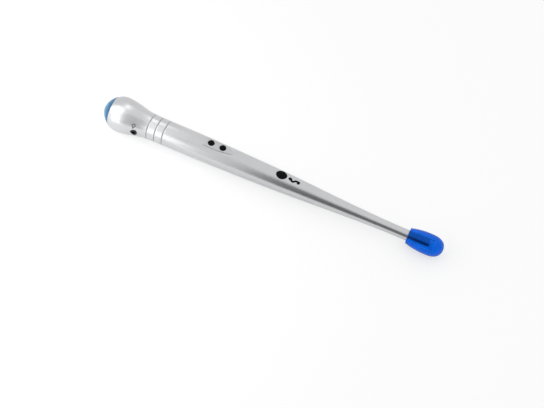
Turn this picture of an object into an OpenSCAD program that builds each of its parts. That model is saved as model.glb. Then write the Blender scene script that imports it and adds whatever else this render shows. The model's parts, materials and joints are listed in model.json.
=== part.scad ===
// Electronic air drumstick: a hollow tapered stick with a bulbous butt and a light-up tip.
// It lies along X, butt at -X and tip at +X, with its buttons up and its headphone socket at -Y.
// Distances along the stick are measured from one datum plane, butt_x behind its butt end.

/* [Stick] */
// Overall length, from the end cap's crown to the tip lens's nose
stick_len = 327; // [323:1:331]
// Distance from the drawing's datum, behind the stick, to the butt end
butt_x = 3; // [2.5:0.5:3.5]
// Largest radius of the butt's bulb
bulb_r = 16.5; // [16.3:0.1:17]
// Distance from the datum to the bulb's widest place
bulb_x = 20; // [19:0.5:21]
// Wall thickness of the silver shells
wall = 1.6; // [1.4:0.1:1.8]
// Distance from the datum to the edge of the blue end cap
cap_edge_x = 12.2; // [12:0.2:13.6]
// Distance from the datum to the tip lens's shoulder
lens_x = 297.7; // [297.5:0.2:298.5]

/* [Battery door] */
// Where the door starts, behind the headphone socket
door_x0 = 39.8; // [39.6:0.1:40.2]
// Where the door ends, on the taper
door_x1 = 211.2; // [210:0.2:213]
// Gap round the door
door_gap = 0.15; // [0.1:0.05:0.25]
// Distance from the datum to the door's screw
door_screw_x = 46.8; // [46.5:0.1:47]

/* [Grip grooves] */
// Number of grooves round the grip
groove_n = 3; // [1:1:4]
// Distance from the datum to the first groove
groove_x = 50.1; // [50:0.1:51]
// Distance between grooves
groove_pitch = 7.6; // [7:0.2:8]
// Depth of a groove
groove_depth = 0.5; // [0.3:0.1:0.7]
// Width of a groove
groove_w = 1.1; // [0.8:0.1:1.4]

/* [Buttons] */
// Distance from the datum to the rear small button
rear_button_x = 108.2; // [108:0.2:108.8]
// Distance from the datum to the middle small button
middle_button_x = 119.5; // [119.3:0.2:120.1]
// Distance from the datum to the large front button
front_button_x = 176.9; // [176.5:0.2:178.3]
// Radius of a small button
small_r = 2.9; // [2.6:0.1:3]
// How far the small buttons sit to the side that faces away from the socket
small_y = 1.2; // [0:0.2:1.2]
// Radius of the large button's round ends
large_r = 4; // [3.8:0.1:4.2]
// Distance between the centres of the large button's round ends
large_stretch = 1.8; // [1:0.2:2]
// How far the large button sits to the side that faces away from the socket
large_y = 0.4; // [0:0.2:0.6]
// Height of a small button's crown above the stick
small_crown = 0.6; // [0.5:0.1:1]
// Height of the large button's crown above the stick
large_crown = 0.5; // [0.5:0.1:1.2]
// Clearance between a button and its hole
button_gap = 0.15; // [0.1:0.05:0.2]

/* [Headphone socket] */
// Distance from the datum to the socket's centre
jack_x = 38.7; // [38.5:0.1:39]
// Radius of the socket's bore, for a 3.5 mm plug
jack_bore_r = 1.8; // [1.8:0.05:1.9]
// Depth of the socket's bore
jack_bore_len = 13; // [12:0.5:13.5]
// Outer radius of the socket's black nose
jack_nose_r = 2.95; // [2.8:0.05:3]

/* [Cells] */
// Length of one AAA cell with its nub
cell_len = 44.5; // [44.3:0.1:44.5]
// Radius of one AAA cell
cell_r = 5.25; // [5.1:0.05:5.25]

/* [Hidden] */
$fn = 64;

silver = "#c9ccd1";
clear_blue = [0.05, 0.3, 0.85, 0.7];
rubber_black = "#1d1d20";
board_green = "#2e6b3c";
steel = "#b9bcc0";
brass = "#c9a24a";
off_white = "#e9e7df";
dark_grey = "#3c3e42";
cell_blue = "#3f6fb0";

big = 400;
tip_x = butt_x + stick_len;

// The outline of the stick: radius at each station in front of the bulb's widest place
stations = [[bulb_x, bulb_r], [34, 14.6], [44, 12.45], [54, 11.75], [84, 11.6], [120, 11.1],
    [160, 10.1], [180, 9.4], [200, 8.4], [240, 6.3], [260, 5.45], [280, 4.9], [lens_x, 4.85]];
last = len(stations) - 1;
// The bulb's rear is a superellipse of this power, and the lens's nose and flank have their own
bulb_power = 1.75;
nose_power = 2.7;
flank_power = 2.2;
lens_r = 9.5;
lens_shoulder_r = 6.95;
lens_wide_x = 316;
lens_corner = 0.7;
// Where the lens's bore ends inside its nose, and where the lamp's flange sits in its holder
lens_bore_end_x = 321.5;
lamp_x = 309;

// Heights above the stick's axis
cell_z = -1.3;
board_z0 = 4.1;
board_z1 = 5.1;
board_half_w = 4.5;
board_x0 = 33;
board_x1 = 206;
cells_x = 62;
tray_wall_x0 = 55;
tray_wall_x1 = cells_x + 3 * cell_len + 0.7;
tray_wall_t = 1.2;
board_screw_x = 52.5;
board_screw_y = 3.2;
dome_top_z = 6.0;
switch_x0 = 215;
switch_x1 = 226;
switch_z = -1.2;
switch_r = 2.6;
weight_r = 1.0;
shaft_bore_r = 3.35;

// Slope at station i, from its neighbours, and flat at both ends
function slope(i) = (i == 0 || i == last) ? 0
    : (stations[i + 1][1] - stations[i - 1][1]) / (stations[i + 1][0] - stations[i - 1][0]);

// Cubic from station i to the next, at fraction u of the way
function cubic(i, u) =
    let(w = stations[i + 1][0] - stations[i][0], r0 = stations[i][1], r1 = stations[i + 1][1])
    (2 * u * u * u - 3 * u * u + 1) * r0 + (u * u * u - 2 * u * u + u) * w * slope(i)
    + (3 * u * u - 2 * u * u * u) * r1 + (u * u * u - u * u) * w * slope(i + 1);

function station_before(x, i = 0) = (i >= last - 1 || x < stations[i + 1][0]) ? i
    : station_before(x, i + 1);

// The stick's outer radius at distance x from the datum
function radius_at(x) = x < bulb_x
    ? bulb_r * pow(1 - pow((bulb_x - x) / (bulb_x - butt_x), bulb_power), 1 / bulb_power)
    : let(i = station_before(x))
      cubic(i, (x - stations[i][0]) / (stations[i + 1][0] - stations[i][0]));

// The shells' inner radius, which ends as a plain bore in the shaft
function inner_at(x) = max(radius_at(x) - wall, shaft_bore_r);

// The tip lens's outer radius at distance x from the datum
function lens_at(x) = x < lens_wide_x
    ? lens_shoulder_r + (lens_r - lens_shoulder_r)
      * (1 - pow(1 - (x - lens_x) / (lens_wide_x - lens_x), flank_power))
    : lens_r * pow(1 - pow((x - lens_wide_x) / (tip_x - lens_wide_x), nose_power),
        1 / flank_power);

// Evenly spaced distances from a to b in n steps
function steps(a, b, n) = [for (i = [0:n]) a + (b - a) * i / n];

// Distances closer together near the crown at a, from a to b in n steps
function crown_steps(a, b, n) = [for (i = [0:n]) a + (b - a) * (1 - cos(90 * i / n))];

function reverse(v) = [for (i = [len(v) - 1:-1:0]) v[i]];

// Moves a piece drawn from the datum, on the stick's axis, to its place
module placed() translate([-(butt_x + tip_x) / 2, 0, bulb_r]) children();

// Turns a profile drawn as (radius, distance) about the stick's axis
module turned() rotate([0, 90, 0]) rotate_extrude($fn = 96) children();

// A disc or tube along the stick's axis
module disc(x, t, r) translate([x, 0, 0]) rotate([0, 90, 0]) cylinder(h = t, r = r);

// A cylinder from y towards -Y, turned so that its seam is clear of the parting plane
module cross_pin(x, y, len, r) translate([x, y, 0]) rotate([90, 0, 0]) rotate([0, 0, 50])
    cylinder(h = len, r = r);

// A box given by its low and high corners
module box(lo, hi) translate(lo) cube(hi - lo);

// The wall of the silver shells between two distances, with the grip grooves
module shell_wall(xs) {
    outer = [for (x = xs) [radius_at(x), x]];
    inner = [for (x = xs) [inner_at(x), x]];
    turned() difference() {
        polygon(concat(outer, reverse(inner)));
        for (i = [0:groove_n - 1]) {
            gx = groove_x + i * groove_pitch;
            r = radius_at(gx);
            flare = groove_w / 2 * (1 + 1 / groove_depth);
            polygon([[r - groove_depth, gx], [r + 1, gx - flare], [r + 1, gx + flare]]);
        }
    }
}

bulb_xs = [cap_edge_x + 0.1, 15, 17.5, 20, 23, 26, 29, 32, 35, 38, door_x0 - door_gap];
door_xs = [door_x0, 44, 48, 53, 62, 84, 104, 124, 144, 160, 172, 184, 196, 204, door_x1];
shaft_xs = [door_x1 + door_gap, 220, 232, 244, 256, 268, 280, lens_x - 0.1];
whole_xs = concat([for (i = [0:9]) bulb_xs[i]], [41, 44, 48, 53, 62, 84, 104, 124, 144, 160,
    172, 184, 196, 204, 212], [for (i = [1:7]) shaft_xs[i]]);

module upper_half() intersection() {
    children();
    box([-1, -big, 0], [big, big, big]);
}

module lower_half(gap = 0) difference() {
    children();
    box([-1, -big, -gap], [big, big, big]);
}

// An arch-shaped rib inside the shells, from height z outwards
module arch_rib(x, z, up = 1) intersection() {
    disc(x - 0.6, 1.2, inner_at(x) + 0.4);
    box([x - 2, -big, up > 0 ? z : -big], [x + 2, big, up > 0 ? big : z]);
}

module button_hole(x, y, r, stretch = 0) translate([x, y, 0]) {
    hole_r = r + button_gap;
    for (s = stretch > 0 ? [-1, 1] : [0]) translate([s * stretch / 2, 0, 0]) cylinder(h = 20, r = hole_r);
    if (stretch > 0) box([-stretch / 2, -hole_r, 0], [stretch / 2, hole_r, 20]);
}

module upper_shell() {
    color(silver) placed() difference() {
        union() {
            upper_half() shell_wall(whole_xs);
            arch_rib(142, board_z1 + 0.05);
            arch_rib(202, board_z1 + 0.05);
            for (s = [-1, 1]) translate([board_screw_x, s * board_screw_y, board_z1 + 0.05])
                cylinder(h = 5, r = 2);
        }
        for (s = [-1, 1]) translate([board_screw_x, s * board_screw_y, board_z1 - 1])
            cylinder(h = 4.6, r = 1);
        button_hole(rear_button_x, small_y, small_r);
        button_hole(middle_button_x, small_y, small_r);
        button_hole(front_button_x, large_y, large_r, large_stretch);
        cross_pin(jack_x, 0, 20, jack_nose_r + 0.1);
    }
}

module bulb_underside() {
    color(silver) placed() difference() {
        lower_half() shell_wall(bulb_xs);
        cross_pin(jack_x, 0, 20, jack_nose_r + 0.1);
    }
}

module shaft_underside() {
    color(silver) placed() lower_half() shell_wall(shaft_xs);
}

// The lower half of the grip, with cradles for the cells, a screw boss and a tongue
module battery_door() {
    boss_z = -radius_at(door_screw_x);
    color(silver) placed() difference() {
        union() {
            lower_half(door_gap) shell_wall(door_xs);
            for (x = [86, 130, 172]) difference() {
                arch_rib(x, -4.5, -1);
                translate([0, 0, cell_z]) disc(x - 5, 10, cell_r + 0.2);
            }
            translate([door_screw_x, 0, boss_z + 1]) cylinder(h = 2, r = 3.4);
            box([206, -2, -6.6], [door_x1, 2, -4.3]);
            box([door_x1 - 1, -2, -5.2], [door_x1 + 2.3, 2, -4.3]);
        }
        translate([door_screw_x, 0, boss_z - 1]) cylinder(h = 2.3, r = 2.35);
        translate([door_screw_x, 0, boss_z - 1]) cylinder(h = 6, r = 1.3);
        cross_pin(jack_x, 0, 20, jack_nose_r + 0.25);
    }
}

module screw(head_r, head_h, shank_r, len, slot) difference() {
    union() {
        cylinder(h = head_h, r = head_r);
        cylinder(h = len, r = shank_r);
    }
    for (a = [0, 90]) rotate([0, 0, a]) box([-slot, -0.25, -1], [slot, 0.25, head_h / 2]);
}

module door_screw() {
    color(steel) placed() translate([door_screw_x, 0, -radius_at(door_screw_x) + 0.1])
        screw(2.2, 1.15, 1, 9, 1.3);
}

module board_screws() {
    color(steel) placed() for (s = [-1, 1])
        translate([board_screw_x, s * board_screw_y, 2.1]) screw(1.7, 1, 0.85, 6.2, 1.1);
}

// Blue dome over the bulb's end: a skirt sits inside the bulb, and the crown has sound holes
module end_cap() {
    cap_t = 1.4;
    skirt_x = 16;
    edge_r = radius_at(cap_edge_x);
    skirt_r = inner_at(cap_edge_x + 0.1) - 0.1;
    xs = crown_steps(butt_x, cap_edge_x, 9);
    deep = (cap_edge_x - butt_x - cap_t) / (cap_edge_x - butt_x);
    // The inside of the dome is a smaller copy of its outside
    inside = [for (x = reverse(crown_steps(butt_x, cap_edge_x, 6)))
        [radius_at(x) * (skirt_r - 1) / edge_r, cap_edge_x - (cap_edge_x - x) * deep]];
    color(clear_blue) placed() difference() {
        turned() polygon(concat([for (x = xs) [radius_at(x), x]],
            [[skirt_r, cap_edge_x], [skirt_r, skirt_x], [skirt_r - 1, skirt_x]], inside));
        for (a = [0:60:300]) rotate([a, 0, 0]) translate([0, 0, 4]) disc(butt_x - 1, 8, 0.8);
    }
}

speaker_x = 17.5;
speaker_r = 12;

// Ring that clamps the loudspeaker in the bulb
module speaker_ring() {
    color(dark_grey) placed() difference() {
        disc(speaker_x - 0.4, 3.4, inner_at(speaker_x - 0.4) - 0.1);
        disc(speaker_x - 1, 5, speaker_r - 1.4);
        disc(speaker_x, 5, speaker_r + 0.1);
    }
}

module speaker_frame() {
    color(steel) placed() turned() difference() {
        polygon([[speaker_r, speaker_x], [speaker_r, speaker_x + 1], [8.6, speaker_x + 4],
            [8.6, speaker_x + 4.6], [3, speaker_x + 4.6], [3, speaker_x + 4],
            [7.6, speaker_x + 4], [10.4, speaker_x + 1.1], [10.4, speaker_x]]);
    }
}

module speaker_magnet() {
    color(dark_grey) placed() disc(speaker_x + 4.6, 4.4, 8);
}

module speaker_cone() {
    color(off_white) placed() turned() polygon([[0, speaker_x + 2.2], [3, speaker_x + 3.2],
        [9.8, speaker_x + 0.5], [10.3, speaker_x + 0.5], [10.3, speaker_x + 0.9],
        [3.1, speaker_x + 3.7], [0, speaker_x + 2.7]]);
}

// Socket soldered under the board, with a round nose through the shells' parting line
module headphone_jack() {
    nose_y = -radius_at(jack_x) - 0.2;
    body_y = -inner_at(jack_x) + 2.2;
    color(rubber_black) placed() difference() {
        union() {
            box([jack_x - 4.4, body_y, -3.3], [jack_x + 4.2, 2.5, board_z0]);
            cross_pin(jack_x, body_y + 1, body_y + 1 - nose_y, jack_nose_r);
        }
        cross_pin(jack_x, nose_y + jack_bore_len, jack_bore_len + 1, jack_bore_r);
    }
}

module circuit_board() {
    color(board_green) placed() difference() {
        union() {
            box([board_x0, -7, board_z0], [48, 7, board_z1]);
            box([40, -board_half_w - 1, board_z0], [57, board_half_w + 1, board_z1]);
            box([50, -board_half_w, board_z0], [196, board_half_w, board_z1]);
            box([190, -3.6, board_z0], [board_x1, 3.6, board_z1]);
        }
        for (s = [-1, 1]) translate([board_screw_x, s * board_screw_y, 0])
            cylinder(h = 20, r = 1);
    }
}

module sound_chip() {
    color(rubber_black) placed() translate([84, 0, board_z1]) {
        box([-5, -2.6, 0.2], [5, 2.6, 1.8]);
        for (i = [-3:3], s = [-1, 1]) box([i * 1.27 - 0.2, s > 0 ? 2.5 : -3.6, 0],
            [i * 1.27 + 0.2, s > 0 ? 3.6 : -2.5, 0.4]);
    }
}

module capacitor() {
    color(dark_grey) placed() translate([66, 0, board_z1]) cylinder(h = 4, r = 2.5);
}

// Three snap-dome switches on the board
module switch_domes() {
    color(steel) placed() for (xy = [[rear_button_x, small_y], [middle_button_x, small_y],
            [front_button_x, large_y]])
        translate([xy[0], xy[1], board_z1]) {
            box([-2.4, -2.4, 0], [2.4, 2.4, 0.45]);
            cylinder(h = dome_top_z - board_z1, r = 1.5);
        }
}

// A button: a crowned plunger, round or stretched along the stick, with a flange under the shell
module button(x, y, r, wing_x, wing_y, wing_z, crown, stretch = 0) {
    top = radius_at(x) + crown;
    half = [[0, dome_top_z + 0.6], [r, dome_top_z + 0.6], [r, top - 0.7], [r - 0.25, top - 0.4],
        [r * 0.75, top - 0.12], [r * 0.4, top], [0, top]];
    other_half = [for (p = reverse(half)) [-p[0], p[1]]];
    color(rubber_black) placed() translate([x, y, 0]) union() {
        for (s = stretch > 0 ? [-1, 1] : [0]) translate([s * stretch / 2, 0, 0])
            rotate_extrude() polygon(half);
        if (stretch > 0) translate([-stretch / 2, 0, 0]) rotate([90, 0, 90])
            linear_extrude(stretch) polygon(concat(half, other_half));
        box([-wing_x, -wing_y, wing_z - 0.6], [wing_x, wing_y, wing_z]);
    }
}

module rear_button() button(rear_button_x, small_y, small_r, 4.3, 2, 9, small_crown);
module middle_button() button(middle_button_x, small_y, small_r, 4.3, 2, 8.8, small_crown);
module front_button()
    button(front_button_x, large_y, large_r, 6.2, 2.2, 7.2, large_crown, large_stretch);

// Tray for the cells: end walls for the contacts, side rails, a screw boss and a fixing tab
module battery_tray() {
    color(dark_grey) placed() difference() {
        union() {
            box([tray_wall_x0, -6, -7.2], [tray_wall_x0 + tray_wall_t, 6, board_z0 - 0.05]);
            intersection() {
                disc(tray_wall_x1, tray_wall_t + 0.3, 6.3);
                box([0, -big, -big], [big, big, board_z0 - 0.05]);
            }
            for (s = [-1, 1]) box([tray_wall_x0, s > 0 ? 5.4 : -6, -2],
                [tray_wall_x1 + 0.5, s > 0 ? 6 : -5.4, 3]);
            box([49.4, -5.4, 3.1], [tray_wall_x0 + 1, 5.4, board_z0 - 0.05]);
            translate([door_screw_x, 0, -8.9]) cylinder(h = 6.9, r = 2.4);
            box([door_screw_x, -2, -6], [tray_wall_x0 + 1, 2, -2]);
        }
        translate([door_screw_x, 0, -10]) cylinder(h = 7.6, r = 1.5);
        for (s = [-1, 1]) translate([board_screw_x, s * board_screw_y, 2])
            cylinder(h = 5, r = 1);
    }
}

// One AAA cell, its nub towards the tip
module cell(i) {
    x = cells_x + i * cell_len;
    color(cell_blue) placed() translate([0, 0, cell_z]) union() {
        disc(x, cell_len - 1, cell_r);
        disc(x + cell_len - 1.5, 1.5, 1.9);
    }
}

module battery_rear() cell(0);
module battery_middle() cell(1);
module battery_front() cell(2);

function unit(v) = v / norm(v);
function along(p, i) = unit(p[min(i + 1, len(p) - 1)] - p[max(i - 1, 0)]);
function ring(p, i, r, n, ref) = let(d = along(p, i), a = unit(cross(d, ref)), b = cross(d, a))
    [for (k = [0:n - 1]) p[i] + r * (cos(360 * k / n) * a + sin(360 * k / n) * b)];

// A closed tube of n sides along points p, which never run along the direction ref
module tube(p, r, n, ref) {
    rings = len(p);
    polyhedron(
        points = [for (i = [0:rings - 1]) each ring(p, i, r, n, ref)],
        faces = concat(
            [[for (k = [0:n - 1]) k]],
            [for (i = [0:rings - 2], k = [0:n - 1])
                [i * n + k, (i + 1) * n + k, (i + 1) * n + (k + 1) % n]],
            [for (i = [0:rings - 2], k = [0:n - 1])
                [i * n + k, (i + 1) * n + (k + 1) % n, i * n + (k + 1) % n]],
            [[for (k = [n - 1:-1:0]) (rings - 1) * n + k]]));
}

// Conical coil from the tray's rear wall to the first cell's base
module negative_spring() {
    turns = 4;
    x0 = tray_wall_x0 + tray_wall_t;
    color(steel) placed() translate([0, 0, cell_z]) {
        difference() {
            disc(x0, 0.4, 4.4);
            box([0, -5, 2.6], [big, 5, 9]);
        }
        box([x0, -1.5, 2], [x0 + 0.4, 1.5, board_z0 - cell_z]);
        tube([for (i = [0:turns * 12]) let(u = i / (turns * 12))
            [x0 + 0.6 + u * (cells_x - x0 - 1), (3.6 - 1.2 * u) * cos(360 * turns * u),
             (3.6 - 1.2 * u) * sin(360 * turns * u)]], 0.3, 6, [1, 0, 0]);
    }
}

module positive_contact() {
    color(steel) placed() translate([0, 0, cell_z]) {
        disc(tray_wall_x1 - 0.5, 0.5, 3.5);
        box([tray_wall_x1 - 0.5, -1.5, 0], [tray_wall_x1, 1.5, board_z0 - cell_z]);
    }
}

// Plug that holds the lamp and carries the lens on the shaft's end
module tip_holder() {
    color(rubber_black) placed() turned() polygon([[2.6, 290], [3.3, 290], [3.3, lens_x - 0.1],
        [4.3, lens_x - 0.1], [4.3, lamp_x + 8], [2.95, lamp_x + 8], [2.95, lamp_x], [2, lamp_x],
        [2, lamp_x - 2.5], [2.6, lamp_x - 2.5]]);
}

// Translucent blue oval over the lamp
module tip_lens() {
    rear_xs = steps(lens_x + lens_corner, lens_wide_x, 7);
    nose_xs = reverse([for (x = crown_steps(0, tip_x - lens_wide_x, 9)) tip_x - x]);
    color(clear_blue) placed() turned() polygon(concat(
        [[4.45, lens_x], [lens_shoulder_r - 0.35, lens_x]],
        [for (x = rear_xs) [lens_at(x), x]],
        [for (i = [1:9]) [i == 9 ? 0 : lens_at(nose_xs[i]), nose_xs[i]]],
        [[0, lens_bore_end_x], [1.6, lens_bore_end_x - 0.4], [3.2, lens_bore_end_x - 1.7],
         [4.1, lens_bore_end_x - 3], [4.45, lens_bore_end_x - 4.2]]));
}

// Round 5 mm lamp with its two legs
module tip_led() {
    color(off_white) placed() union() {
        turned() polygon([[0, lamp_x], [2.85, lamp_x], [2.85, lamp_x + 1], [2.5, lamp_x + 1],
            [2.5, lamp_x + 6.1], [2.2, lamp_x + 7.3], [1.3, lamp_x + 8.3], [0, lamp_x + 8.6]]);
        for (s = [-1, 1]) translate([0, s * 1.27, 0]) disc(300, lamp_x - 299.5, 0.25);
    }
}

// Two insulated leads from the board to the lamp's legs
module tip_leads() {
    for (s = [-1, 1]) color(s > 0 ? "#b03030" : "#202020") placed()
        tube([[206.1, s * 1, 4.6], [209, s * 0.9, 4.2], [213, s * 0.8, 2.6], [218, s * 0.7, 2],
            [240, s * 0.7, 1.8], [270, s * 0.7, 1.4], [292, s * 0.8, 0.6], [298, s * 1.2, 0.1],
            [300, s * 1.27, 0]], 0.4, 8, [0, 1, 0]);
}

// Two insulated leads from the board to the loudspeaker's tags
module speaker_leads() {
    for (s = [-1, 1]) color(s > 0 ? "#b03030" : "#202020") placed()
        tube([[speaker_x + 3.2, s * 2.4, 10.3], [speaker_x + 6, s * 2.6, 10.8],
            [speaker_x + 10, s * 3, 9.5], [31, s * 3.2, 7.8], [34, s * 3.4, 6.8], [36, s * 3.4, 5.75]],
            0.5, 8, [0, 1, 0]);
}

// The switch that senses each beat: a weight on a spring in a metal can
module motion_switch_case() {
    color(brass) placed() translate([0, 0, switch_z]) turned() polygon([
        [0, switch_x0], [switch_r, switch_x0], [switch_r, switch_x1], [switch_r - 0.5, switch_x1],
        [switch_r - 0.5, switch_x0 + 1.5], [0, switch_x0 + 1.5]]);
}

module motion_switch_spring() {
    x0 = switch_x0 + 1.5;
    x1 = switch_x1 - 4;
    turns = 6;
    color(steel) placed() translate([0, 0, switch_z])
        tube([for (i = [0:turns * 10]) let(u = i / (turns * 10))
            [x0 + 0.25 + u * (x1 - x0 - 0.5), 0.7 * cos(360 * turns * u),
             0.7 * sin(360 * turns * u)]], 0.2, 6, [1, 0, 0]);
}

module motion_switch_weight() {
    color(brass) placed() translate([0, 0, switch_z]) disc(switch_x1 - 4, 3, weight_r);
}

upper_shell();
bulb_underside();
shaft_underside();
battery_door();
door_screw();
end_cap();
speaker_ring();
speaker_frame();
speaker_magnet();
speaker_cone();
headphone_jack();
circuit_board();
sound_chip();
capacitor();
switch_domes();
rear_button();
middle_button();
front_button();
battery_tray();
board_screws();
battery_rear();
battery_middle();
battery_front();
negative_spring();
positive_contact();
tip_holder();
tip_lens();
tip_led();
tip_leads();
speaker_leads();
motion_switch_case();
motion_switch_spring();
motion_switch_weight();
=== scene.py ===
"""Electronic air drumstick: the finishes and the outer pieces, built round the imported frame.

Lengths are millimetres until piece() takes them to the row frame's metres. Distances along the
stick run from one datum plane, BUTT_X behind its butt end. Angles round the stick start at the
buttons (up) and turn towards the headphone socket.
"""

import json
import math

import bpy
import numpy as np
from mathutils import Matrix, Vector


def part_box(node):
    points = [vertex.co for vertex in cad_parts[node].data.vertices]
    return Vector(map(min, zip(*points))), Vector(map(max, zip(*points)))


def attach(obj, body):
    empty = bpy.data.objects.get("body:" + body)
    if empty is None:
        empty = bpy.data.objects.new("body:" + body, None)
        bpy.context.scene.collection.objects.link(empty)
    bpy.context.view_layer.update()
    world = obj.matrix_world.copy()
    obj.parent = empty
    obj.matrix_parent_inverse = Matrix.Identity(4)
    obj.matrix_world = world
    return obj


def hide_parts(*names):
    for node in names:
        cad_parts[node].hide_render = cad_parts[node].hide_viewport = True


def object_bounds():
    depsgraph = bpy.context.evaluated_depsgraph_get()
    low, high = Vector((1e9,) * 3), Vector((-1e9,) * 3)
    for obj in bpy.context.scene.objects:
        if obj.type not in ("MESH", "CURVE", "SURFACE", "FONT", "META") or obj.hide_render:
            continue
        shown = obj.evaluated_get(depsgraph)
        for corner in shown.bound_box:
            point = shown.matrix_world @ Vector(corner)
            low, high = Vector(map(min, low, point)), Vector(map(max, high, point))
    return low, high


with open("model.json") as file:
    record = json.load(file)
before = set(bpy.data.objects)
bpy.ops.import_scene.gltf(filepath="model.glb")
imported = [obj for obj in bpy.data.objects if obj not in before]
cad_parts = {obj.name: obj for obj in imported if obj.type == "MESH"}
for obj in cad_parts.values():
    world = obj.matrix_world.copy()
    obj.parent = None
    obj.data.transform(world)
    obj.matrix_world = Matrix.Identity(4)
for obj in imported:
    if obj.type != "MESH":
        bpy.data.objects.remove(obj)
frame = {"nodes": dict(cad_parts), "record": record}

MM = 0.001
cad_low, cad_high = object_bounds()

# ---- driving dimensions ----

BUTT_X = 3.0  # butt end
BULB_X = 20.0  # widest place of the bulb
BULB_POWER = 1.75  # of the superellipse from there to the butt end
BULB_R = (cad_high.y - cad_low.y) / 2 / MM
WALL = 1.6
SHAFT_BORE_R = 3.35
SEAM_ROUND = 0.24  # edges along a seam that opens
HAIRLINE_ROUND = 0.07  # edges along a glued seam
HOLE_ROUND = 0.2
BUTTON_GAP = 0.15  # round each button

GROOVE_XS = (50.1, 57.7, 65.3)
GROOVE_DEPTH = 0.5
GROOVE_W = 1.1

CAP_EDGE_X = 12.2
CAP_T = 1.4
CAP_AROUND = 96  # faces round the cap
SKIRT_END_X = 16.0
SKIRT_T = 1.0
SOUND_HOLES = 6
SOUND_HOLE_R = 0.8
SOUND_HOLE_AT = 4.0  # from the axis
SOUND_HOLE_WINDOW = 1.4  # half the window in the grid round each hole

LENS_WIDE_X = 316.0
LENS_R = 9.5
LENS_SHOULDER_R = 6.95  # beside the shaft
LENS_CORNER = 0.7
NOSE_POWER = 2.7
FLANK_POWER = 2.2
CAVITY_X = 321.5  # blind end of the cavity for plug and lamp
CAVITY_R = 4.45

INK_RISE = 0.05  # how far the print stands over the paint


def along(node, end):
    """Distance from the datum of a CAD node's low (0) or high (1) end."""
    return (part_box(node)[end].x - cad_low.x) / MM + BUTT_X


LENS_X = along("tip_lens", 0)
# the stick's outline: station and radius, from the bulb's widest place to the tip lens
STATION_X = np.array([BULB_X, 34, 44, 54, 84, 120, 160, 180, 200, 240, 260, 280, LENS_X])
STATION_R = np.array([BULB_R, 14.6, 12.45, 11.75, 11.6, 11.1, 10.1, 9.4, 8.4, 6.3, 5.45, 4.9, 4.85])

TIP_X = BUTT_X + (cad_high.x - cad_low.x) / MM
SHELL_X0 = along("upper_shell", 0)
SHELL_X1 = along("upper_shell", 1)
DOOR_X0 = along("battery_door", 0)
SHAFT_X0 = along("shaft_underside", 0)
DOOR_GAP = 0.15
DOOR_X1 = SHAFT_X0 - DOOR_GAP
BULB_X1 = along("bulb_underside", 1)
JACK_X = (frame["record"]["mounts"][0]["pos_m"][0] - cad_low.x) / MM + BUTT_X
JACK_NOSE_R = 2.95
JACK_BORE_R = 1.8
NOTCH_R = JACK_NOSE_R + 0.1  # the shells' opening round the socket's nose
BITE_R = JACK_NOSE_R + 0.25  # the door's, which needs room to swing
SCREW_X = (along("door_screw", 0) + along("door_screw", 1)) / 2
SCREW_HOLE_R = 2.35
SCREW_HOLE_ROUND = 0.3
BUTTONS = ("rear_button", "middle_button", "front_button")
BUTTON_X = {n: (along(n, 0) + along(n, 1)) / 2 for n in BUTTONS}
BUTTON_Y = {n: (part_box(n)[0].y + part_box(n)[1].y) / 2 / MM for n in BUTTONS}
BUTTON_R = {n: (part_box(n)[1].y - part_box(n)[0].y) / 2 / MM for n in BUTTONS}
BUTTON_STRETCH = {"rear_button": 1.0, "middle_button": 1.0, "front_button": 1.225}  # length to width
BUTTON_CROWN = 0.5
SHIFT = np.array([cad_low.x / MM - BUTT_X, 0, cad_low.z / MM + BULB_R])  # from stick to row


def cubic(u, low, high, low_slope, high_slope):
    """A cubic from low to high over u from 0 to 1, with these slopes at its two ends."""
    start = (2 * u**3 - 3 * u**2 + 1) * low + (u**3 - 2 * u**2 + u) * low_slope
    return start + (3 * u**2 - 2 * u**3) * high + (u**3 - u**2) * high_slope


def spline_slopes(x, y):
    """Slopes that give a cubic equal curvature on both sides of each station, and level ends."""
    step = np.diff(x)
    rise = np.diff(y) / step
    i = np.arange(1, len(x) - 1)
    matrix = np.eye(len(x))
    matrix[i, i - 1] = step[1:]
    matrix[i, i] = 2 * (step[:-1] + step[1:])
    matrix[i, i + 1] = step[:-1]
    right = np.zeros(len(x))
    right[i] = 3 * (step[1:] * rise[:-1] + step[:-1] * rise[1:])
    return np.linalg.solve(matrix, right)


STATION_SLOPE = spline_slopes(STATION_X, STATION_R)


def radius_at(x):
    """Outer radius: a superellipse behind the bulb's widest place, then a cubic through the stations."""
    x = np.asarray(x, float)
    i = np.clip(np.searchsorted(STATION_X, x, "right") - 1, 0, len(STATION_X) - 2)
    w = STATION_X[i + 1] - STATION_X[i]
    u = np.clip((x - STATION_X[i]) / w, 0, 1)
    front = cubic(u, STATION_R[i], STATION_R[i + 1], w * STATION_SLOPE[i], w * STATION_SLOPE[i + 1])
    t = np.clip((BULB_X - x) / (BULB_X - BUTT_X), 0, 1)
    rear = BULB_R * (1 - t**BULB_POWER) ** (1 / BULB_POWER)
    return np.where(x < BULB_X, rear, front)


def inner_at(x):
    """Inner radius of the shells, which ends as a plain bore in the shaft."""
    return np.maximum(radius_at(x) - WALL, SHAFT_BORE_R)


def smooth(value, low, high):
    """Rises from 0 at low to 1 at high along the curve 3u^2 - 2u^3."""
    u = np.clip((value - low) / (high - low), 0, 1)
    return u * u * (3 - 2 * u)


def edge_drop(distance, round_r):
    """How far a rounded edge lies under the surface: a quarter circle over its last round_r."""
    reach = np.clip(round_r - distance, 0, round_r)
    return round_r - np.sqrt(np.maximum(round_r**2 - reach**2, 0))


def groove_drop(x):
    """V grooves with softened lips: depth times one minus the distance over half the width."""
    gap = np.min(np.abs(np.subtract.outer(x, GROOVE_XS)), axis=-1)
    return GROOVE_DEPTH * np.clip(1 - gap / (GROOVE_W / 2), 0, 1) ** 1.15


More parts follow.
